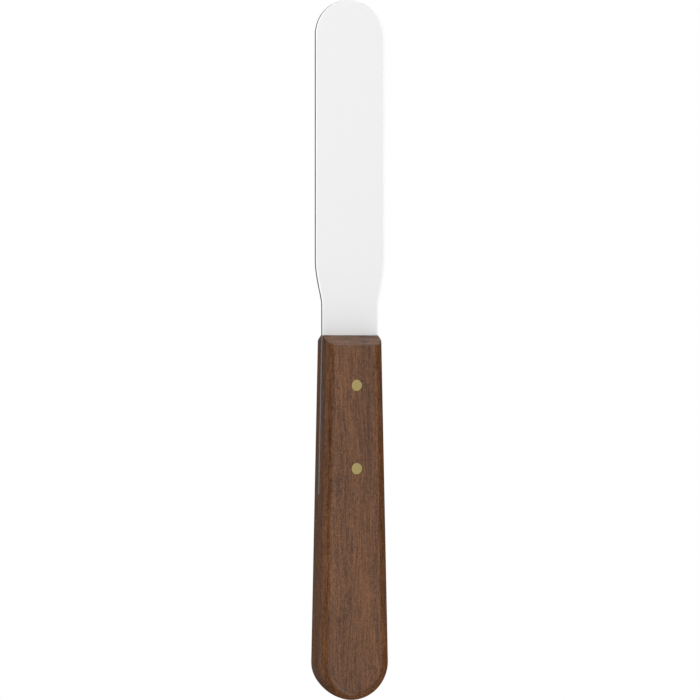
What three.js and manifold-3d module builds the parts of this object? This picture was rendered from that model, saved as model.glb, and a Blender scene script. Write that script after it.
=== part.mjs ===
// Palette knife with a straight, round-ended steel blade riveted into a slotted wooden handle.
// Millimetres, +Z up. The knife stands on the butt of its handle: Z runs from the butt to the
// blade's tip, X across the width and Y through the thickness, with the front face towards -Y.
// The origin is on the ground under the middle of the butt.
import * as THREE from 'three';
import { mergeVertices } from 'three/addons/utils/BufferGeometryUtils.js';
import Module from 'manifold-3d';

// ---- driving dimensions ------------------------------------------------------------------
const knifeLength = 200;

const handleLength = 104.1;
const handleThickness = 11;
const handleWidthAtFront = 17.25;  // where the blade comes out
const handleWidthAtButt = 21.4;    // where the half-round butt starts
const buttDrawIn = 0.037;          // share of its radius by which the butt is flattened on its left
const longEdgeRadius = 3.2;        // rounding along every long edge and round the butt
const endBevelLength = 2.9;        // both faces slope down to the blade at the front end
const endLandThickness = 0.3;      // wood left beside the slot where the slopes end

const bladeWidth = 21.2;
const bladeThickness = 0.9;        // even, from the tang to the tip
const neckLength = 8.4;            // parallel part between the handle and the shoulders
const shoulderLength = 13;         // S-shaped step from the neck to the full width
const neckEase = 0.2;              // share of the step that eases out of the neck
const fullWidthEase = 0.4;         // share that eases into the full width
const tangLength = 45.2;           // length inside the handle, square at its end

const rivetDiameter = 3.3;
const rivetSetbacks = [14.25, 37.9]; // from the handle's front end to each rivet's axis

const slotClearance = 0.1;         // on each side of the tang, and beyond its end
const boreClearance = 0.1;         // on the radius, round each rivet

// ---- how finely the round shapes are divided ---------------------------------------------
const tipSegments = 32;
const buttSegments = 32;
const edgeSegments = 6;
const shoulderSegments = 8;
const roundSegments = 40;

// ---- places that follow from the dimensions ----------------------------------------------
const bladeStart = handleLength;
const tangEnd = handleLength - tangLength;
const shoulderStart = bladeStart + neckLength;
const shoulderEnd = shoulderStart + shoulderLength;
const tipRadius = bladeWidth / 2;
const buttRadius = handleWidthAtButt / 2;
const rivetHeights = rivetSetbacks.map((setback) => handleLength - setback);
const boreDiameter = rivetDiameter + 2 * boreClearance;

// ---- working allowances ------------------------------------------------------------------
const overrun = 1;                 // cutting profiles and drills run this far past the piece
const cutterReach = 40;            // cutting bars reach this far to each side of the knife
const mergeTolerance = 1e-4;       // corners closer than this are one vertex

// The handle's sides are straight between the butt and the front end.
const sideSlope = (handleWidthAtButt - handleWidthAtFront) / 2 / (handleLength - buttRadius);
const handleHalfWidth = (z) => handleWidthAtFront / 2 + sideSlope * (handleLength - z);

// ---- solids ------------------------------------------------------------------------------
const wasm = await Module();
wasm.setup();

function toSolid(geometry) {
  const bare = geometry.clone();
  bare.deleteAttribute('normal');
  bare.deleteAttribute('uv');
  const merged = mergeVertices(bare, mergeTolerance);
  return new wasm.Manifold(new wasm.Mesh({
    numProp: 3,
    vertProperties: new Float32Array(merged.attributes.position.array),
    triVerts: new Uint32Array(merged.index.array),
  }));
}

function toGeometry(solid) {
  const mesh = solid.getMesh();
  const geometry = new THREE.BufferGeometry();
  geometry.setAttribute('position', new THREE.BufferAttribute(mesh.vertProperties, 3));
  geometry.setIndex(new THREE.BufferAttribute(mesh.triVerts, 1));
  geometry.computeVertexNormals();
  return geometry;
}

// An outline drawn in X and Z, made `thickness` thick and centred on Y = 0.
function plate(outline, thickness, rounding = 0) {
  const geometry = new THREE.ExtrudeGeometry(outline, {
    depth: thickness - 2 * rounding,
    curveSegments: tipSegments,
    bevelEnabled: rounding > 0,
    bevelThickness: rounding,
    bevelSize: rounding,
    bevelOffset: -rounding,
    bevelSegments: edgeSegments,
  });
  geometry.translate(0, 0, rounding - thickness / 2);
  geometry.rotateX(Math.PI / 2);
  return geometry;
}

// A side profile drawn in Y (first coordinate) and Z, wide enough to reach past every piece.
function profileBar(profile) {
  const geometry = new THREE.ExtrudeGeometry(profile, {
    depth: 2 * cutterReach,
    bevelEnabled: false,
  });
  geometry.translate(0, 0, -cutterReach);
  geometry.rotateX(Math.PI / 2);
  geometry.rotateZ(Math.PI / 2);
  return geometry;
}

// A round bar through the thickness, on the rivet axis at height z.
function crossPin(diameter, length, z) {
  const geometry = new THREE.CylinderGeometry(diameter / 2, diameter / 2, length, roundSegments);
  geometry.translate(0, 0, z);
  return geometry;
}

// ---- blade and tang ----------------------------------------------------------------------
function bladeOutline() {
  const neckHalfWidth = handleHalfWidth(bladeStart);
  const tipCentre = knifeLength - tipRadius;
  const outline = new THREE.Shape();
  outline.moveTo(-handleHalfWidth(tangEnd), tangEnd);
  outline.lineTo(handleHalfWidth(tangEnd), tangEnd);
  outline.lineTo(neckHalfWidth, bladeStart);
  shoulder(1).forEach((point) => outline.lineTo(point.x, point.y));
  outline.absarc(0, tipCentre, tipRadius, 0, Math.PI, false);
  shoulder(-1).reverse().forEach((point) => outline.lineTo(point.x, point.y));
  outline.lineTo(-neckHalfWidth, bladeStart);
  outline.closePath();
  return outline;
}

// The S-shaped step from the neck to the full width, on the side given by +1 or -1.
function shoulder(side) {
  const neckX = side * handleHalfWidth(bladeStart);
  const fullX = side * tipRadius;
  const curve = new THREE.CubicBezierCurve(
    new THREE.Vector2(neckX, shoulderStart),
    new THREE.Vector2(neckX, shoulderStart + neckEase * shoulderLength),
    new THREE.Vector2(fullX, shoulderEnd - fullWidthEase * shoulderLength),
    new THREE.Vector2(fullX, shoulderEnd),
  );
  return curve.getPoints(shoulderSegments);
}

function bladeGeometry() {
  let solid = toSolid(plate(bladeOutline(), bladeThickness));
  for (const z of rivetHeights) {
    solid = solid.subtract(toSolid(crossPin(boreDiameter, bladeThickness + overrun, z)));
  }
  return toGeometry(solid);
}

// ---- handle ------------------------------------------------------------------------------
// The plan of the handle, drawn past its front end so that the end can be cut square.
function handleOutline() {
  const drawnEnd = handleLength + 2 * longEdgeRadius;
  const outline = new THREE.Shape();
  outline.moveTo(handleHalfWidth(drawnEnd), drawnEnd);
  outline.lineTo(-handleHalfWidth(drawnEnd), drawnEnd);
  for (let step = 0; step <= buttSegments; step += 1) {
    const point = buttPoint(Math.PI * (1 - step / buttSegments));
    outline.lineTo(point.x, point.y);
  }
  outline.closePath();
  return outline;
}

// The butt is a half circle whose left half is flattened a little, most of all half way round.
// The angle runs from 0 at the right side to PI at the left.
function buttPoint(angle) {
  const onLeft = angle > Math.PI / 2;
  const drawIn = onLeft ? buttDrawIn * Math.sin(2 * angle) ** 2 : 0;
  const radius = buttRadius * (1 - drawIn);
  return new THREE.Vector2(radius * Math.cos(angle), buttRadius - radius * Math.sin(angle));
}

// Side view of the front end: both faces slope in towards the blade.
function frontEndProfile() {
  const half = handleThickness / 2;
  const land = bladeThickness / 2 + slotClearance + endLandThickness;
  const bevelStart = handleLength - endBevelLength;
  const profile = new THREE.Shape();
  profile.moveTo(-half - overrun, -overrun);
  profile.lineTo(half + overrun, -overrun);
  profile.lineTo(half + overrun, bevelStart);
  profile.lineTo(half, bevelStart);
  profile.lineTo(land, handleLength);
  profile.lineTo(-land, handleLength);
  profile.lineTo(-half, bevelStart);
  profile.lineTo(-half - overrun, bevelStart);
  profile.closePath();
  return profile;
}

function slotProfile() {
  const half = bladeThickness / 2 + slotClearance;
  const profile = new THREE.Shape();
  profile.moveTo(-half, tangEnd - slotClearance);
  profile.lineTo(half, tangEnd - slotClearance);
  profile.lineTo(half, handleLength + overrun);
  profile.lineTo(-half, handleLength + overrun);
  profile.closePath();
  return profile;
}

function handleGeometry() {
  const blank = plate(handleOutline(), handleThickness, longEdgeRadius);
  let solid = toSolid(blank).intersect(toSolid(profileBar(frontEndProfile())));
  solid = solid.subtract(toSolid(profileBar(slotProfile())));
  for (const z of rivetHeights) {
    solid = solid.subtract(toSolid(crossPin(boreDiameter, handleThickness + overrun, z)));
  }
  return toGeometry(solid);
}

// ---- materials ---------------------------------------------------------------------------
const steel = new THREE.MeshStandardMaterial({ color: 0xc9cbcc, roughness: 0.3, metalness: 1 });
const walnut = new THREE.MeshStandardMaterial({ color: 0x6e5040, roughness: 0.55, metalness: 0 });
const brass = new THREE.MeshStandardMaterial({ color: 0xa89764, roughness: 0.35, metalness: 1 });

// ---- assembly ----------------------------------------------------------------------------
const knife = new THREE.Group();

function addPiece(name, geometry, material) {
  const mesh = new THREE.Mesh(geometry, material);
  mesh.name = name;
  knife.add(mesh);
  return mesh;
}

addPiece('blade', bladeGeometry(), steel);
addPiece('handle', handleGeometry(), walnut);
['rivet_front', 'rivet_rear'].forEach((name, index) => {
  const rivet = addPiece(name, crossPin(rivetDiameter, handleThickness, 0), brass);
  rivet.position.z = rivetHeights[index];
});

export default knife;
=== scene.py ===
"""Palette knife: a satin steel blade riveted into a slotted walnut handle.

The knife stands on its butt, as in the CAD frame: +Z towards the blade's tip, the front face
towards -Y. Shapes are in metres, and MM turns millimetres into metres. The patterns in the
materials are measured in plain millimetres.
"""
import math
from typing import NamedTuple

import bpy
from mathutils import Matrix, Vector


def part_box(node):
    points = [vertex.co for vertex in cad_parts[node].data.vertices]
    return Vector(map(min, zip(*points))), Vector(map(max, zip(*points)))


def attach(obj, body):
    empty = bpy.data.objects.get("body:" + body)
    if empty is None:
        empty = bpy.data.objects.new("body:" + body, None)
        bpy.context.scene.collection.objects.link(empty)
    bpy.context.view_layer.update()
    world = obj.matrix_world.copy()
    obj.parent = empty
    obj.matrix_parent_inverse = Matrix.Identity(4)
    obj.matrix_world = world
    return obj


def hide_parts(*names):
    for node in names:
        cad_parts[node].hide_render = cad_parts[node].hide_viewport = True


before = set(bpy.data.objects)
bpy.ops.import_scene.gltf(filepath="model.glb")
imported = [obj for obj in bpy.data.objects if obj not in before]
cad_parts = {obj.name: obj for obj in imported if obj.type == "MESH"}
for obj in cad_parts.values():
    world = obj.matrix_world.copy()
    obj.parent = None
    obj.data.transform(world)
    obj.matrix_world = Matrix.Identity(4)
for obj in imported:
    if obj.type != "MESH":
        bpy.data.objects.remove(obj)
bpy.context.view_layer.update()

MM = 0.001
RIGHT_ANGLE = math.pi / 2

# ---- sizes read from the frame ------------------------------------------------------------
BLADE_LOW, BLADE_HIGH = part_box("blade")
HANDLE_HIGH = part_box("handle")[1]
TIP_Z = BLADE_HIGH.z
TANG_END_Z = BLADE_LOW.z
FRONT_Z = HANDLE_HIGH.z                 # the handle's front end, where the blade comes out
BLADE_HALF_WIDTH = BLADE_HIGH.x
BLADE_HALF_THICKNESS = BLADE_HIGH.y
HANDLE_HALF_THICKNESS = HANDLE_HIGH.y
BUTT_RADIUS = HANDLE_HIGH.x
RIVET_NODES = ("rivet_front", "rivet_rear")

# ---- handle sizes --------------------------------------------------------------------------
FRONT_HALF_WIDTH = 8.625 * MM           # half the handle's width at its front end
LONG_EDGE_RADIUS = 3.3 * MM
EDGE_CREASE = math.radians(5.5)         # the rounded long edges meet the flat faces at this angle
BUTT_EDGE_HEIGHT = 3.7 * MM             # size of the edge's curve at the very end of the butt
ROUND_POWER = 2.0                       # this power makes an edge's curve round,
BUTT_EDGE_POWER = 2.9                   # and a larger one makes it fuller, as at the butt's end
BUTT_DRAW_IN = 0.037                    # the butt is flattened by this share, low on its left
END_SLOPE_LENGTH = 2.9 * MM             # both faces slope down to the blade at the front end
END_LAND_HALF = 0.75 * MM               # half thickness left where the slopes end
ARRIS_RADIUS = 0.14 * MM                # softening of the edges round the end slopes
JOINT_GAP = 0.03 * MM                   # between the wood and the tang
BORE_GAP = 0.05 * MM                    # between the wood or the tang and each rivet

# ---- blade and rivet sizes -----------------------------------------------------------------
SHOULDER_START_Z = FRONT_Z + 8.4 * MM
SHOULDER_END_Z = SHOULDER_START_Z + 13.0 * MM
NECK_EASE = 0.2                         # share of the shoulder that eases out of the neck
FULL_WIDTH_EASE = 0.4                   # share that eases into the full width
BLADE_EDGE_RADIUS = 0.08 * MM
BLADE_RIM_WIDTH = 0.5 * MM              # the blade's faces are eased off along its outline
BLADE_RIM_DROP = 0.022 * MM
RIVET_EDGE_RADIUS = 0.08 * MM
RIVET_FLAT_SHARE = 0.8                  # a ring at this share of the radius keeps the end flat

# ---- how finely the shapes are divided -----------------------------------------------------
SIDE_STEPS = 40
ARC_STEPS = 40
SHOULDER_STEPS = 24
CORNER_STEPS = 5
EDGE_STEPS = 5
CREASE_ANGLE = 0.4                      # degrees of the long edge's curve that the crease takes,
FINE_ANGLE = 2.0                        # then fine steps of this many degrees,
FINE_STEPS = 5
COARSE_STEPS = 12                       # and equal steps for the rest
FLAT_STEPS = 3
ROUND_STEPS = 72
WELD_DISTANCE = 0.0001 * MM             # corners that a cut leaves this close become one
SHARP_ANGLE = 30                        # degrees between faces from which an edge stays sharp
RIVET_SHARP_ANGLE = 60


# ---- mesh helpers --------------------------------------------------------------------------
def make_object(name, vertices, faces):
    mesh = bpy.data.meshes.new(name)
    mesh.from_pydata(vertices, [], faces)
    mesh.update()
    made = bpy.data.objects.new(name, mesh)
    bpy.context.scene.collection.objects.link(made)
    return made


def apply_modifiers(piece):
    """Replaces the piece's mesh by the result of its modifiers."""
    graph = bpy.context.evaluated_depsgraph_get()
    result = bpy.data.meshes.new_from_object(piece.evaluated_get(graph))
    piece.modifiers.clear()
    old = piece.data
    piece.data = result
    bpy.data.meshes.remove(old)


def cut(piece, cutters):
    """Cuts the closed cutters out of the piece, and removes them."""
    for cutter in cutters:
        modifier = piece.modifiers.new("cut", "BOOLEAN")
        modifier.operation = "DIFFERENCE"
        modifier.solver = "EXACT"
        modifier.object = cutter
    weld = piece.modifiers.new("weld", "WELD")
    weld.merge_threshold = WELD_DISTANCE
    apply_modifiers(piece)
    for cutter in cutters:
        bpy.data.objects.remove(cutter)


def smooth_with_sharp_edges(piece, angle=SHARP_ANGLE):
    piece.data.shade_smooth()
    piece.data.set_sharp_from_angle(angle=math.radians(angle))
    modifier = piece.modifiers.new("face_weighted_normals", "WEIGHTED_NORMAL")
    modifier.keep_sharp = True
    apply_modifiers(piece)


def blend(start, end, share):
    """The value that lies this share of the way from start to end."""
    return start + (end - start) * share


def mirrored_loop(right, centre):
    """A closed outline: along the right side, through the centre point, back along the left."""
    left = [Vector((-point.x, point.y, point.z)) for point in right]
    return right + [centre] + left[::-1]


def ladder(first, right_count):
    """Faces that fill a mirrored loop with rungs from side to side. Vertices start at first."""
    last = first + 2 * right_count
    rungs = [
        (first + i, first + i + 1, last - i - 1, last - i)
        for i in range(right_count - 1)
    ]
    centre = first + right_count
    return rungs + [(centre - 1, centre, centre + 1)]


def loop_faces(loop_count, loop_size):
    """Faces between loops of equal size whose vertices follow each other."""
    faces = []
    for row in range(loop_count - 1):
        here = row * loop_size
        there = here + loop_size
        for step in range(loop_size):
            after = (step + 1) % loop_size
            faces.append((here + step, there + step, there + after, here + after))
    return faces


def loft(name, loops, right_count):
    """A closed solid from mirrored loops stacked front to back, with both ends filled."""
    vertices = [tuple(point) for loop in loops for point in loop]
    loop_size = len(loops[0])
    faces = loop_faces(len(loops), loop_size)
    faces += ladder(0, right_count)
    faces += [face[::-1] for face in ladder((len(loops) - 1) * loop_size, right_count)]
    return make_object(name, vertices, faces)


def turned(name, profile, centre_z):
    """A solid of revolution round the Y axis through centre_z. The profile is (radius, y)."""
    vertices = []
    for radius, y in profile:
        for step in range(ROUND_STEPS):
            angle = 2 * math.pi * step / ROUND_STEPS
            vertices.append((radius * math.cos(angle), y, centre_z + radius * math.sin(angle)))
    front_cap = list(range(ROUND_STEPS))
    back_cap = [(len(profile) - 1) * ROUND_STEPS + step for step in front_cap[::-1]]
    faces = loop_faces(len(profile), ROUND_STEPS)
    return make_object(name, vertices, faces + [front_cap, back_cap])


def block(name, low, high):
    """A box between two opposite corners."""
    corners = [
        (x, y, z)
        for x in (low[0], high[0])
        for y in (low[1], high[1])
        for z in (low[2], high[2])
    ]
    faces = [(0, 1, 3, 2), (4, 6, 7, 5), (0, 4, 5, 1), (2, 3, 7, 6), (0, 2, 6, 4), (1, 5, 7, 3)]
    return make_object(name, corners, faces)


# ---- handle --------------------------------------------------------------------------------
SIDE_SLOPE = (BUTT_RADIUS - FRONT_HALF_WIDTH) / (FRONT_Z - BUTT_RADIUS)
SIDE_FLAT_HALF = HANDLE_HALF_THICKNESS - LONG_EDGE_RADIUS * math.cos(EDGE_CREASE)
END_SLOPE = END_SLOPE_LENGTH / (HANDLE_HALF_THICKNESS - END_LAND_HALF)


def handle_half_width(z):
    return FRONT_HALF_WIDTH + SIDE_SLOPE * (FRONT_Z - z)


def edge_inset(y, flat_half=SIDE_FLAT_HALF, height=LONG_EDGE_RADIUS, power=ROUND_POWER):
    """How far a curved edge has drawn in at distance y off the middle plane.

    The curve starts at flat_half and stops just short of the face, where it leaves a crease.
    """
    run = HANDLE_HALF_THICKNESS - flat_half
    share = math.cos(EDGE_CREASE) * max(abs(y) - flat_half, 0) / run
    return height * (1 - (1 - share**power) ** (1 / power))


def end_setback(y):
    """How far behind FRONT_Z the sloping end is at height y, with a softened outer edge."""
    slope_angle = math.atan(END_SLOPE)
    tangent = ARRIS_RADIUS * math.tan((RIGHT_ANGLE - slope_angle) / 2)
    height = abs(y)
    if height > HANDLE_HALF_THICKNESS - tangent * math.cos(slope_angle):
        off = height - (HANDLE_HALF_THICKNESS - ARRIS_RADIUS)
        return END_SLOPE_LENGTH + tangent - math.sqrt(max(ARRIS_RADIUS**2 - off * off, 0))
    return max(height - END_LAND_HALF, 0) * END_SLOPE


def handle_corner(y):
    """The softened front corner of the handle's right side at height y."""
    corner_z = FRONT_Z - end_setback(y) - ARRIS_RADIUS
    corner_x = handle_half_width(corner_z) - edge_inset(y) - ARRIS_RADIUS
    points = []
    for step in range(CORNER_STEPS + 1):
        angle = RIGHT_ANGLE * (1 - step / CORNER_STEPS)
        points.append(Vector((corner_x + ARRIS_RADIUS * math.cos(angle), y,
                              corner_z + ARRIS_RADIUS * math.sin(angle))))
    return points


def butt_point(angle, y):
    """A point of the half-round butt, at an angle that runs from 0 at its right to its end.

    Its edge changes from the long edges' curve to the one at the very end.
    """
    share = angle / RIGHT_ANGLE
    ease = share * share * (3 - 2 * share)
    flat_half = SIDE_FLAT_HALF * (1 - ease)
    height = blend(LONG_EDGE_RADIUS, BUTT_EDGE_HEIGHT, ease)
    power = blend(ROUND_POWER, BUTT_EDGE_POWER, ease)
    radius = BUTT_RADIUS - edge_inset(y, flat_half, height, power)
    return Vector((radius * math.cos(angle), y, BUTT_RADIUS - radius * math.sin(angle)))


def handle_right_side(y):
    """The right half of the handle's outline at height y, from the front end to the butt."""
    points = handle_corner(y)
    corner_z = points[-1].z
    for step in range(1, SIDE_STEPS):
        z = blend(corner_z, BUTT_RADIUS, step / SIDE_STEPS)
        points.append(Vector((handle_half_width(z) - edge_inset(y), y, z)))
    for step in range(ARC_STEPS):
        points.append(butt_point(RIGHT_ANGLE * step / ARC_STEPS, y))
    return points


def handle_heights():
    """Distances off the middle plane where the outline is drawn, from the front face in."""
    crease = math.degrees(EDGE_CREASE)
    angles = [crease, crease + CREASE_ANGLE]
    angles += [crease + FINE_ANGLE * step for step in range(1, FINE_STEPS + 1)]
    fine_end = angles[-1]
    angles += [blend(fine_end, 90, step / COARSE_STEPS) for step in range(1, COARSE_STEPS + 1)]
    curved = [SIDE_FLAT_HALF + LONG_EDGE_RADIUS * math.cos(math.radians(a)) for a in angles]
    flat = [
        blend(SIDE_FLAT_HALF, END_LAND_HALF, step / FLAT_STEPS)
        for step in range(1, FLAT_STEPS + 1)
    ]
    return curved + flat


def flatten_left(point):
    """Flattens the left half of the half-round butt a little, most of all half way round."""
    if point.x >= 0 or point.z >= BUTT_RADIUS:
        return point
    angle = math.atan2(BUTT_RADIUS - point.z, point.x)
    share = 1 - BUTT_DRAW_IN * math.sin(2 * angle) ** 2
    return Vector((point.x * share, point.y, BUTT_RADIUS + (point.z - BUTT_RADIUS) * share))


def handle_blank():
    """The whole handle before the slot and the bores are cut."""
    heights = handle_heights()
    loops = []
    for y in [-height for height in heights] + heights[::-1]:
        right = handle_right_side(y)
        loop = mirrored_loop(right, butt_point(RIGHT_ANGLE, y))
        loops.append([flatten_left(point) for point in loop])
    return loft("handle_wood", loops, len(right))


def tang_slot():
    half = BLADE_HALF_THICKNESS + JOINT_GAP
    reach = 2 * BUTT_RADIUS
    return block("slot", (-reach, -half, TANG_END_Z - JOINT_GAP), (reach, half, FRONT_Z + reach))


def build_handle():
    handle = handle_blank()
    cut(handle, [tang_slot(), *rivet_bores()])
    smooth_with_sharp_edges(handle)
    return handle


# ---- rivets --------------------------------------------------------------------------------
def rivet_size(node):
    """The pin's radius, the height of its axis and half its length."""
    low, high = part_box(node)
    return (high.x - low.x) / 2, (low.z + high.z) / 2, high.y


def rivet_bores():
    """Closed bars that cut the rivets' holes."""
    bores = []
    for node in RIVET_NODES:
        radius, axis_z, half_length = rivet_size(node)
        reach = 2 * half_length
        profile = [(radius + BORE_GAP, -reach), (radius + BORE_GAP, reach)]
        bores.append(turned("bore", profile, axis_z))
    return bores


def build_rivet(node):
    """A pin sanded flush with the wood, its rims just broken."""
    radius, axis_z, half_length = rivet_size(node)
    back = [(radius * RIVET_FLAT_SHARE, half_length)]
    for step in range(EDGE_STEPS + 1):
        angle = RIGHT_ANGLE * step / EDGE_STEPS
        back.append((radius - RIVET_EDGE_RADIUS * (1 - math.sin(angle)),
                     half_length - RIVET_EDGE_RADIUS * (1 - math.cos(angle))))
    front = [(r, -y) for r, y in back]
    rivet = turned(node + "_pin", front + back[::-1], axis_z)
    smooth_with_sharp_edges(rivet, RIVET_SHARP_ANGLE)
    return rivet


# ---- blade ---------------------------------------------------------------------------------
class OutlinePoint(NamedTuple):
    """A point of the blade's right side. Outwards is the angle from +X towards +Z."""

    x: float
    z: float
    outwards: float


def bezier(start, ease_in, ease_out, end, share):
    rest = 1 - share
    return (rest**3 * start + 3 * rest**2 * share * ease_in
            + 3 * rest * share**2 * ease_out + share**3 * end)


def tang_side():
    points = []
    for step in range(SIDE_STEPS + 1):
        z = blend(TANG_END_Z, FRONT_Z, step / SIDE_STEPS)
        points.append(OutlinePoint(handle_half_width(z), z, 0))
    return points


def shoulder_side():
    """The S-shaped step from the neck to the blade's full width."""
    length = SHOULDER_END_Z - SHOULDER_START_Z
    neck_hold_z = SHOULDER_START_Z + NECK_EASE * length
    width_hold_z = SHOULDER_END_Z - FULL_WIDTH_EASE * length
    points = []
    for step in range(SHOULDER_STEPS + 1):
        share = step / SHOULDER_STEPS
        x = bezier(FRONT_HALF_WIDTH, FRONT_HALF_WIDTH, BLADE_HALF_WIDTH, BLADE_HALF_WIDTH, share)
        z = bezier(SHOULDER_START_Z, neck_hold_z, width_hold_z, SHOULDER_END_Z, share)
        points.append(OutlinePoint(x, z, 0))
    return points


def tip_side():
    """The straight side and a quarter of the round tip, up to just before its top."""
    centre_z = TIP_Z - BLADE_HALF_WIDTH
    points = []
    for step in range(1, SIDE_STEPS):
        z = blend(SHOULDER_END_Z, centre_z, step / SIDE_STEPS)
        points.append(OutlinePoint(BLADE_HALF_WIDTH, z, 0))
    for step in range(ARC_STEPS):
        angle = RIGHT_ANGLE * step / ARC_STEPS
        points.append(OutlinePoint(BLADE_HALF_WIDTH * math.cos(angle),
                                   centre_z + BLADE_HALF_WIDTH * math.sin(angle), angle))
    return points


def blade_edge():
    """The edge's section from the face to the crown, as (inset from the outline, drop)."""
    section = [(BLADE_RIM_WIDTH, 0)]
    for step in range(EDGE_STEPS + 1):
        angle = RIGHT_ANGLE * step / EDGE_STEPS
        section.append((BLADE_EDGE_RADIUS * (1 - math.sin(angle)),
                        BLADE_RIM_DROP + BLADE_EDGE_RADIUS * (1 - math.cos(angle))))
    return section


def blade_loop(side, inset, y):
    right = []
    for x, z, outwards in side:
        right.append(Vector((x - inset * math.cos(outwards), y, z - inset * math.sin(outwards))))
    return mirrored_loop(right, Vector((0, y, TIP_Z - inset)))


def build_blade():
    side = tang_side() + shoulder_side() + tip_side()
    section = blade_edge()
    front = [blade_loop(side, inset, drop - BLADE_HALF_THICKNESS) for inset, drop in section]
    back = [blade_loop(side, inset, BLADE_HALF_THICKNESS - drop) for inset, drop in section]
    blade = loft("blade_steel", back + front[::-1], len(side))
    cut(blade, rivet_bores())
    smooth_with_sharp_edges(blade)
    return blade


# ---- material helper -----------------------------------------------------------------------
class Graph:
    """A node tree with short calls for the nodes used in this file."""

    def __init__(self, tree):
        self.tree = tree
        tree.nodes.clear()

    def node(self, kind, inputs=None, **settings):
        made = self.tree.nodes.new(kind)
        for name, value in settings.items():
            setattr(made, name, value)
        for name, value in (inputs or {}).items():
            self.put(made.inputs[name], value)
        return made

    def put(self, socket, value):
        """Links the value to the socket if it is a socket itself, and sets it otherwise."""
        if isinstance(value, bpy.types.NodeSocket):
            self.tree.links.new(value, socket)
        else:
            socket.default_value = value

    def math(self, operation, *values):
        made = self.node("ShaderNodeMath", dict(enumerate(values)), operation=operation)
        return made.outputs[0]

    def add_scaled(self, base, value, scale):
        """The base plus the value times the scale."""
        return self.math("MULTIPLY_ADD", value, scale, base)

    def stretch(self, vector, scale):
        inputs = {0: vector, 1: scale}
        return self.node("ShaderNodeVectorMath", inputs, operation="MULTIPLY").outputs[0]

    def noise(self, place, scale, detail=0.0, roughness=0.5):
        """Noise from 0 to 1. Scale is how fine it is along X, Y and Z, about in spots per mm."""
        inputs = {"Vector": self.stretch(place, scale), "Scale": 1.0, "Detail": detail,
                  "Roughness": roughness}
        return self.node("ShaderNodeTexNoise", inputs).outputs["Fac"]

    def between(self, value, start, end):
        """0 at start and 1 at end, smooth in between, and held beyond both."""
        inputs = {"Value": value, "From Min": start, "From Max": end}
        made = self.node("ShaderNodeMapRange", inputs, interpolation_type="SMOOTHSTEP")
        return made.outputs["Result"]

    def ramp(self, value, stops):
        made = self.node("ShaderNodeValToRGB", {"Fac": value})
        elements = made.color_ramp.elements
        while len(elements) < len(stops):
            elements.new(0.5)
        for element, (place, colour) in zip(elements, stops):
            element.position = place
            element.color = (*colour, 1)
        return made.outputs["Color"]

    def mix(self, share, first, second):
        """A colour between two, where inputs 6 and 7 and output 2 are the node's colours."""
        made = self.node("ShaderNodeMix", {"Factor": share}, data_type="RGBA")
        self.put(made.inputs[6], (*first, 1))
        self.put(made.inputs[7], (*second, 1))
        return made.outputs[2]

    def bump(self, height, depth, strength):
        inputs = {"Height": height, "Distance": depth, "Strength": strength}
        return self.node("ShaderNodeBump", inputs).outputs["Normal"]

    def position_mm(self):
        """The point's place in the knife's frame, in millimetres."""
        place = self.node("ShaderNodeTexCoord").outputs["Object"]
        return self.stretch(place, (1 / MM, 1 / MM, 1 / MM))

    def surface_direction(self):
        """The way the surface faces, as X, Y and Z in the knife's frame."""
        return self.split(self.node("ShaderNodeTexCoord").outputs["Normal"])

    def split(self, vector):
        return self.node("ShaderNodeSeparateXYZ", {"Vector": vector}).outputs

    def join(self, x, y, z):
        return self.node("ShaderNodeCombineXYZ", {"X": x, "Y": y, "Z": z}).outputs[0]

    def finish(self, **inputs):
        names = {name.replace("_", " "): value for name, value in inputs.items()}
        shader = self.node("ShaderNodeBsdfPrincipled", names)
        self.node("ShaderNodeOutputMaterial", {"Surface": shader.outputs[0]})


def new_material(name):
    material = bpy.data.materials.new(name)
    material.use_nodes = True
    return material, Graph(material.node_tree)


# ---- walnut --------------------------------------------------------------------------------
class Layer(NamedTuple):
    """Noise drawn out along the grain: how fine it is across and along, and how much it adds."""

    across: float
    along: float
    strength: float


# The wood's tone runs from 0 (dark) to 1 (light), and is the sum of these layers.
FIBRES = Layer(3.4, 0.8, 0.65)
STREAKS = Layer(2.6, 0.13, 0.8)
BANDS = Layer(0.22, 0.02, 0.5)
SPECKS = Layer(4.6, 6.0, 1.45)
TONE_OFFSET = -1.215                    # brings the sum to about the middle of the colours
TONE_PER_MM = -0.003                    # the wood gets a little darker towards its right

# These bend the grain sideways, and their strength is in millimetres.
WANDER = Layer(0.10, 0.020, 4.0)
FLUTTER = Layer(0.45, 0.12, 0.7)

WOOD_COLOURS = [
    (0.0, (0.040, 0.0152, 0.0052)),
    (0.5, (0.121, 0.0483, 0.0184)),
    (1.0, (0.218, 0.0910, 0.0360)),
]
WOOD_ROUGHNESS = 0.26
WOOD_SPECULAR = 0.33
FIBRE_DEPTH = 0.01 * MM
FIBRE_BUMP = 0.5

SANDING_FINENESS = (0.12, 0.0, 3.0)     # sanding marks run across the slopes at the front end
SANDING_STRENGTH = 1.7
SANDING_OFFSET = -0.89
SLOPE_FACING = 0.5                      # only the slopes and their corners face up more
FRONT_PAINTED_SHADE_LINE = (0.5, 0.2)                 # mm behind the front end: a line of painted shade comes in, is full
FRONT_PAINTED_SHADE_LINE_TONE = -0.28
# Painted shade: a thin dark line along the crease where the butt's curved edge meets the flat
# faces.
CREASE_PAINTED_SHADE_LINE = (0.055, 0.015, 0.002)     # mm below the faces: the painted shade line comes in, is full, ends
CREASE_PAINTED_SHADE_LINE_TONE = -0.22
CREASE_PAINTED_SHADE_LINE_FADE = (12.0, 7.0)          # mm above the ground: the painted shade line comes in, is full


def layer_noise(graph, place, layer, detail=0.0):
    return graph.noise(place, (layer.across, layer.across, layer.along), detail)


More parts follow.
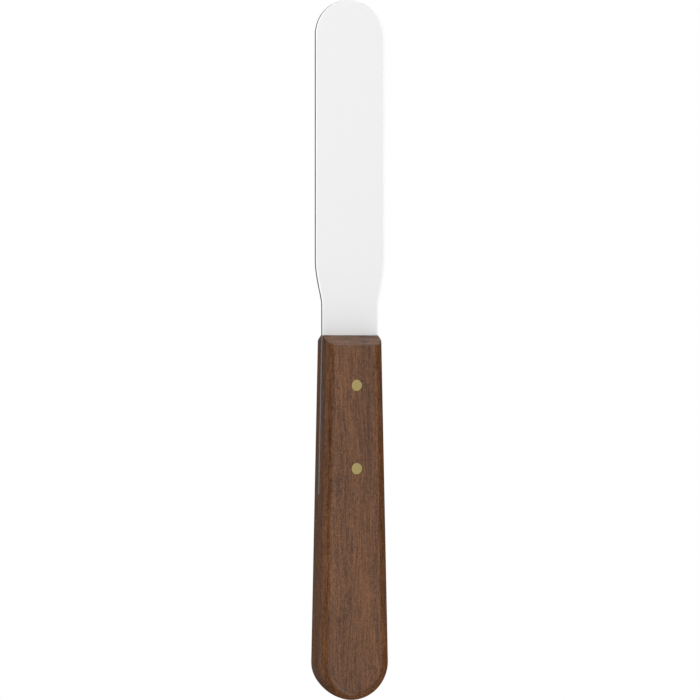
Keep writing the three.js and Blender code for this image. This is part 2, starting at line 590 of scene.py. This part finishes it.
def bent_grain(graph, place):
    """The place, with X pushed to and fro along the handle so that the grain isn't straight."""
    x, y, z = graph.split(place)
    for bend in (WANDER, FLUTTER):
        x = graph.add_scaled(x, layer_noise(graph, place, bend, detail=1.0), bend.strength)
    return graph.join(x, y, z)


def grain_tone(graph, place, grain):
    """The sum of the layers, mostly between 0 and 1."""
    tone = graph.add_scaled(TONE_OFFSET, graph.split(place)[0], TONE_PER_MM)
    for layer in (FIBRES, STREAKS, BANDS, SPECKS):
        tone = graph.add_scaled(tone, layer_noise(graph, grain, layer), layer.strength)
    return tone


def slope_sanding_and_painted_shade(graph, place):
    """What sanding adds to the slopes' tone, and a line of painted shade at their top, by the
    blade.
    """
    faces_up = graph.math("GREATER_THAN", graph.surface_direction()[2], SLOPE_FACING)
    sanding = graph.noise(place, SANDING_FINENESS, detail=1.0)
    marks = graph.add_scaled(SANDING_OFFSET, sanding, SANDING_STRENGTH)
    comes_in, is_full = [FRONT_Z / MM - behind for behind in FRONT_PAINTED_SHADE_LINE]
    # painted shade where the wood meets the blade
    painted_shade_line = graph.between(graph.split(place)[2], comes_in, is_full)
    return graph.math("MULTIPLY", graph.add_scaled(marks, painted_shade_line, FRONT_PAINTED_SHADE_LINE_TONE), faces_up)


def crease_painted_shade_line(graph, place):
    """A thin line of painted shade, from 0 to 1, where the butt's curved edge meets the flat
    faces.
    """
    _, y, z = graph.split(place)
    face = HANDLE_HALF_THICKNESS / MM
    comes_in, is_full, ends = [face - below for below in CREASE_PAINTED_SHADE_LINE]
    off_middle = graph.math("ABSOLUTE", y)
    painted_shade_line = graph.math("MULTIPLY", graph.between(off_middle, comes_in, is_full),
                      graph.math("LESS_THAN", off_middle, ends))
    return graph.math("MULTIPLY", painted_shade_line, graph.between(z, *CREASE_PAINTED_SHADE_LINE_FADE))


def walnut():
    """Oiled walnut with its grain along Z: bands, streaks, fine fibres and short dark specks, and
    painted shade by the blade and along the butt's crease.
    """
    material, graph = new_material("oiled_walnut")
    place = graph.position_mm()
    grain = bent_grain(graph, place)
    # sanding marks, and painted shade at the top of the front slopes
    tone = graph.math("ADD", grain_tone(graph, place, grain), slope_sanding_and_painted_shade(graph, place))
    # painted shade along the butt's crease
    tone = graph.add_scaled(tone, crease_painted_shade_line(graph, place), CREASE_PAINTED_SHADE_LINE_TONE)
    fibres = layer_noise(graph, grain, FIBRES)
    graph.finish(
        Base_Color=graph.ramp(tone, WOOD_COLOURS),
        Roughness=WOOD_ROUGHNESS,
        Specular_IOR_Level=WOOD_SPECULAR,
        Normal=graph.bump(fibres, FIBRE_DEPTH, FIBRE_BUMP),
    )
    return material


# ---- metals --------------------------------------------------------------------------------
GRIND_FINENESS = (0.25, 3.0, 9.0)       # faint marks that run across the blade
STEEL_ROUGHNESS = 0.67
GRIND_ROUGHNESS = 0.06
GLOSS_SPREAD = (0.0, 0.0, 1.0)          # reflections are drawn out along the blade
STEEL_ANISOTROPY = 0.6
STEEL_SHADE = 0.838
HANDLE_PAINTED_SHADE = -0.064                   # painted shade: the blade is darker next to the handle, where the handle shades it
HANDLE_PAINTED_SHADE_LENGTH = 9.0               # mm over which that painted shade fades to about a third
TANG_EDGE_LESS_PAINTED_SHADE = 0.12                       # the tang's edge gets this much less of the edge's painted shade than the blade's

# How far the surface faces -Y or +Y: 1 on the flat faces and 0 on the crown of the edge.
RIM_FACING = (0.99995, 0.9992)          # from the flat faces to the eased rims
# painted highlight along the eased rims of the blade's faces
RIM_PAINTED_HIGHLIGHT = 0.11
RIM_PAINTED_HIGHLIGHT_FADE = (1.5, 8.0)                   # mm below the tip: the rims' painted highlight comes in, is full
EDGE_FACING = (0.95, 0.6)               # from the eased rims to the edge
# painted shade on the blade's edge, which faces away from the light
EDGE_PAINTED_SHADE = -0.54

BRASS_FINENESS = (6.0, 1.0, 1.2)
BRASS_COLOURS = ((0.396, 0.308, 0.127), (0.46, 0.367, 0.153))
BRASS_ROUGHNESS = 0.4


def steel_tone_with_painted_light(graph, place):
    """How bright the steel is, with painted shade at the handle and on the edge and a painted
    highlight on the rims.
    """
    height = graph.math("SUBTRACT", graph.split(place)[2], FRONT_Z / MM)
    # painted shade: darker next to the handle, fading out up the blade
    fade = graph.math("EXPONENT", graph.math("DIVIDE", height, -HANDLE_PAINTED_SHADE_LENGTH))
    shade = graph.add_scaled(STEEL_SHADE, graph.math("MINIMUM", fade, 1.0), HANDLE_PAINTED_SHADE)

    facing = graph.math("ABSOLUTE", graph.surface_direction()[1])
    tip_height = (TIP_Z - FRONT_Z) / MM
    # painted highlight along the rims, faded out at the tip
    below_tip = graph.between(height, *[tip_height - below for below in RIM_PAINTED_HIGHLIGHT_FADE])
    rim = graph.math("MULTIPLY", graph.between(facing, *RIM_FACING), below_tip)
    shade = graph.add_scaled(shade, rim, RIM_PAINTED_HIGHLIGHT)
    # painted shade on the edge
    shade = graph.add_scaled(shade, graph.between(facing, *EDGE_FACING), EDGE_PAINTED_SHADE)
    # less painted shade on the tang's edge, inside the handle
    return graph.add_scaled(shade, graph.math("LESS_THAN", height, 0.0), TANG_EDGE_LESS_PAINTED_SHADE)


def satin_steel():
    """Blade steel with a fine satin grind; its colour carries painted shade and painted
    highlights.
    """
    material, graph = new_material("satin_steel")
    place = graph.position_mm()
    grind = graph.noise(place, GRIND_FINENESS, detail=2.0, roughness=0.6)
    shade = steel_tone_with_painted_light(graph, place)
    graph.finish(
        Base_Color=graph.join(shade, shade, shade),
        Metallic=1.0,
        Roughness=graph.add_scaled(STEEL_ROUGHNESS, grind, GRIND_ROUGHNESS),
        Anisotropic=STEEL_ANISOTROPY,
        Tangent=graph.join(*GLOSS_SPREAD),
    )
    return material


def sanded_brass():
    """Brass pin ends sanded flush with the wood, a little dull."""
    material, graph = new_material("sanded_brass")
    marks = graph.noise(graph.position_mm(), BRASS_FINENESS, detail=3.0, roughness=0.6)
    colour = graph.mix(marks, *BRASS_COLOURS)
    graph.finish(Base_Color=colour, Metallic=1.0, Roughness=BRASS_ROUGHNESS)
    return material


# ---- the knife -----------------------------------------------------------------------------
def place_piece(piece, node, material):
    """Gives the piece its material, and lets it stand for a node of the frame."""
    piece.data.materials.clear()
    piece.data.materials.append(material)
    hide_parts(node)
    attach(piece, "root")


def build_knife():
    brass = sanded_brass()
    place_piece(build_blade(), "blade", satin_steel())
    place_piece(build_handle(), "handle", walnut())
    for node in RIVET_NODES:
        place_piece(build_rivet(node), node, brass)


# ---- stage ---------------------------------------------------------------------------------
KNIFE_MIDDLE = Vector((0, 0, TIP_Z / 2))
CAMERA_AZIMUTH = -23.0
CAMERA_DISTANCE = 0.6397
CAMERA_LENS = 115.0
CAMERA_CLIP_START = 0.01
AIM_RIGHT = 0.12 * MM                   # small shifts of the aim off the knife's middle
AIM_DOWN = 0.10 * MM
FLOOR_HALF_SIZE = 6.0
STUDIO_GLOW = 0.05
PANEL_DISTANCE = 1.0


class Panel(NamedTuple):
    """A soft light that faces the knife. Azimuth 0 is in front of it and 90 on its right."""

    name: str
    azimuth: float
    elevation: float
    width: float
    height: float
    brightness: float                   # its radiance
    mirrored: bool = True               # shiny surfaces show it
    lit: tuple = ()                     # it lights these pieces only, or everything if empty


BLADE = ("blade_steel",)
METAL = ("blade_steel", "rivet_front_pin", "rivet_rear_pin")
PANELS = [
    Panel("key_panel", -0.5, 0, 1.13, 5.0, 1.28),
    Panel("left_panel", -100, 0, 0.78, 2.0, 0.66),
    Panel("left_back_panel", -146, 0, 0.9, 2.0, 0.14),
    Panel("left_fill", -50, 0, 0.6, 2.0, 0.65, mirrored=False),
    Panel("right_fill", 80, 0, 0.8, 2.0, 0.55, mirrored=False),
    Panel("low_panel", 0, -76, 2.0, 1.2, 0.8, mirrored=False),
    Panel("top_panel", 0, 90, 2.0, 2.0, 0.9),
    Panel("back_fill", 140, 5, 1.3, 2.0, 0.9, mirrored=False),
    Panel("blade_card_right", 51, 0, 0.75, 5.0, 1.0, lit=BLADE),
    Panel("blade_card_left", -62, -10, 1.1, 4.0, 0.7, lit=BLADE),
    Panel("blade_card_low", 0, -76, 2.0, 1.2, 0.7, lit=BLADE),
    Panel("metal_card_back", 150, 10, 0.9, 1.8, 1.1, lit=METAL),
]


def direction(azimuth, elevation):
    """Unit vector from the knife. Azimuth 0 is -Y and 90 is +X."""
    a = math.radians(azimuth)
    e = math.radians(elevation)
    return Vector((math.sin(a) * math.cos(e), -math.cos(a) * math.cos(e), math.sin(e)))


def add_camera():
    camera = bpy.data.objects.new("camera", bpy.data.cameras.new("camera"))
    bpy.context.scene.collection.objects.link(camera)
    camera.data.lens = CAMERA_LENS
    camera.data.clip_start = CAMERA_CLIP_START
    back = direction(CAMERA_AZIMUTH, 0)
    right = Vector((-back.y, back.x, 0))
    aim = KNIFE_MIDDLE + AIM_RIGHT * right - Vector((0, 0, AIM_DOWN))
    camera.location = aim + CAMERA_DISTANCE * back
    camera.rotation_euler = (-back).to_track_quat("-Z", "Y").to_euler()
    bpy.context.scene.camera = camera


def light_only(lamp, pieces):
    receivers = bpy.data.collections.new(lamp.name + "_receivers")
    for piece in pieces:
        receivers.objects.link(bpy.data.objects[piece])
    lamp.light_linking.receiver_collection = receivers


def add_panel(panel):
    light = bpy.data.lights.new(panel.name, "AREA")
    light.shape = "RECTANGLE"
    light.size = panel.width
    light.size_y = panel.height
    light.energy = panel.brightness * math.pi * panel.width * panel.height
    lamp = bpy.data.objects.new(panel.name, light)
    outwards = direction(panel.azimuth, panel.elevation)
    lamp.location = KNIFE_MIDDLE + PANEL_DISTANCE * outwards
    lamp.rotation_euler = outwards.to_track_quat("Z", "Y").to_euler()
    lamp.visible_camera = False
    lamp.visible_glossy = panel.mirrored
    if panel.lit:
        light_only(lamp, panel.lit)
    bpy.context.scene.collection.objects.link(lamp)


def add_floor():
    """A plain white floor, seen by the camera only, that runs to the white background."""
    size = FLOOR_HALF_SIZE
    corners = [(-size, -size, 0), (size, -size, 0), (size, size, 0), (-size, size, 0)]
    floor = make_object("floor", corners, [(0, 1, 2, 3)])
    material, graph = new_material("white_floor")
    glow = graph.node("ShaderNodeEmission", {"Color": (1, 1, 1, 1), "Strength": 1.0})
    graph.node("ShaderNodeOutputMaterial", {"Surface": glow.outputs[0]})
    floor.data.materials.append(material)
    floor.visible_diffuse = False
    floor.visible_glossy = False
    floor.visible_shadow = False


def set_world():
    """White where the camera looks past the knife, and a dim even studio for everything else."""
    world = bpy.data.worlds.new("studio")
    bpy.context.scene.world = world
    world.use_nodes = True
    graph = Graph(world.node_tree)
    seen = graph.node("ShaderNodeLightPath").outputs["Is Camera Ray"]
    glow = graph.mix(seen, (STUDIO_GLOW, STUDIO_GLOW, STUDIO_GLOW), (1, 1, 1))
    background = graph.node("ShaderNodeBackground", {"Color": glow, "Strength": 1.0})
    graph.node("ShaderNodeOutputWorld", {"Surface": background.outputs[0]})
    bpy.context.scene.view_settings.view_transform = "Standard"


build_knife()
add_floor()
for panel in PANELS:
    add_panel(panel)
set_world()
add_camera()
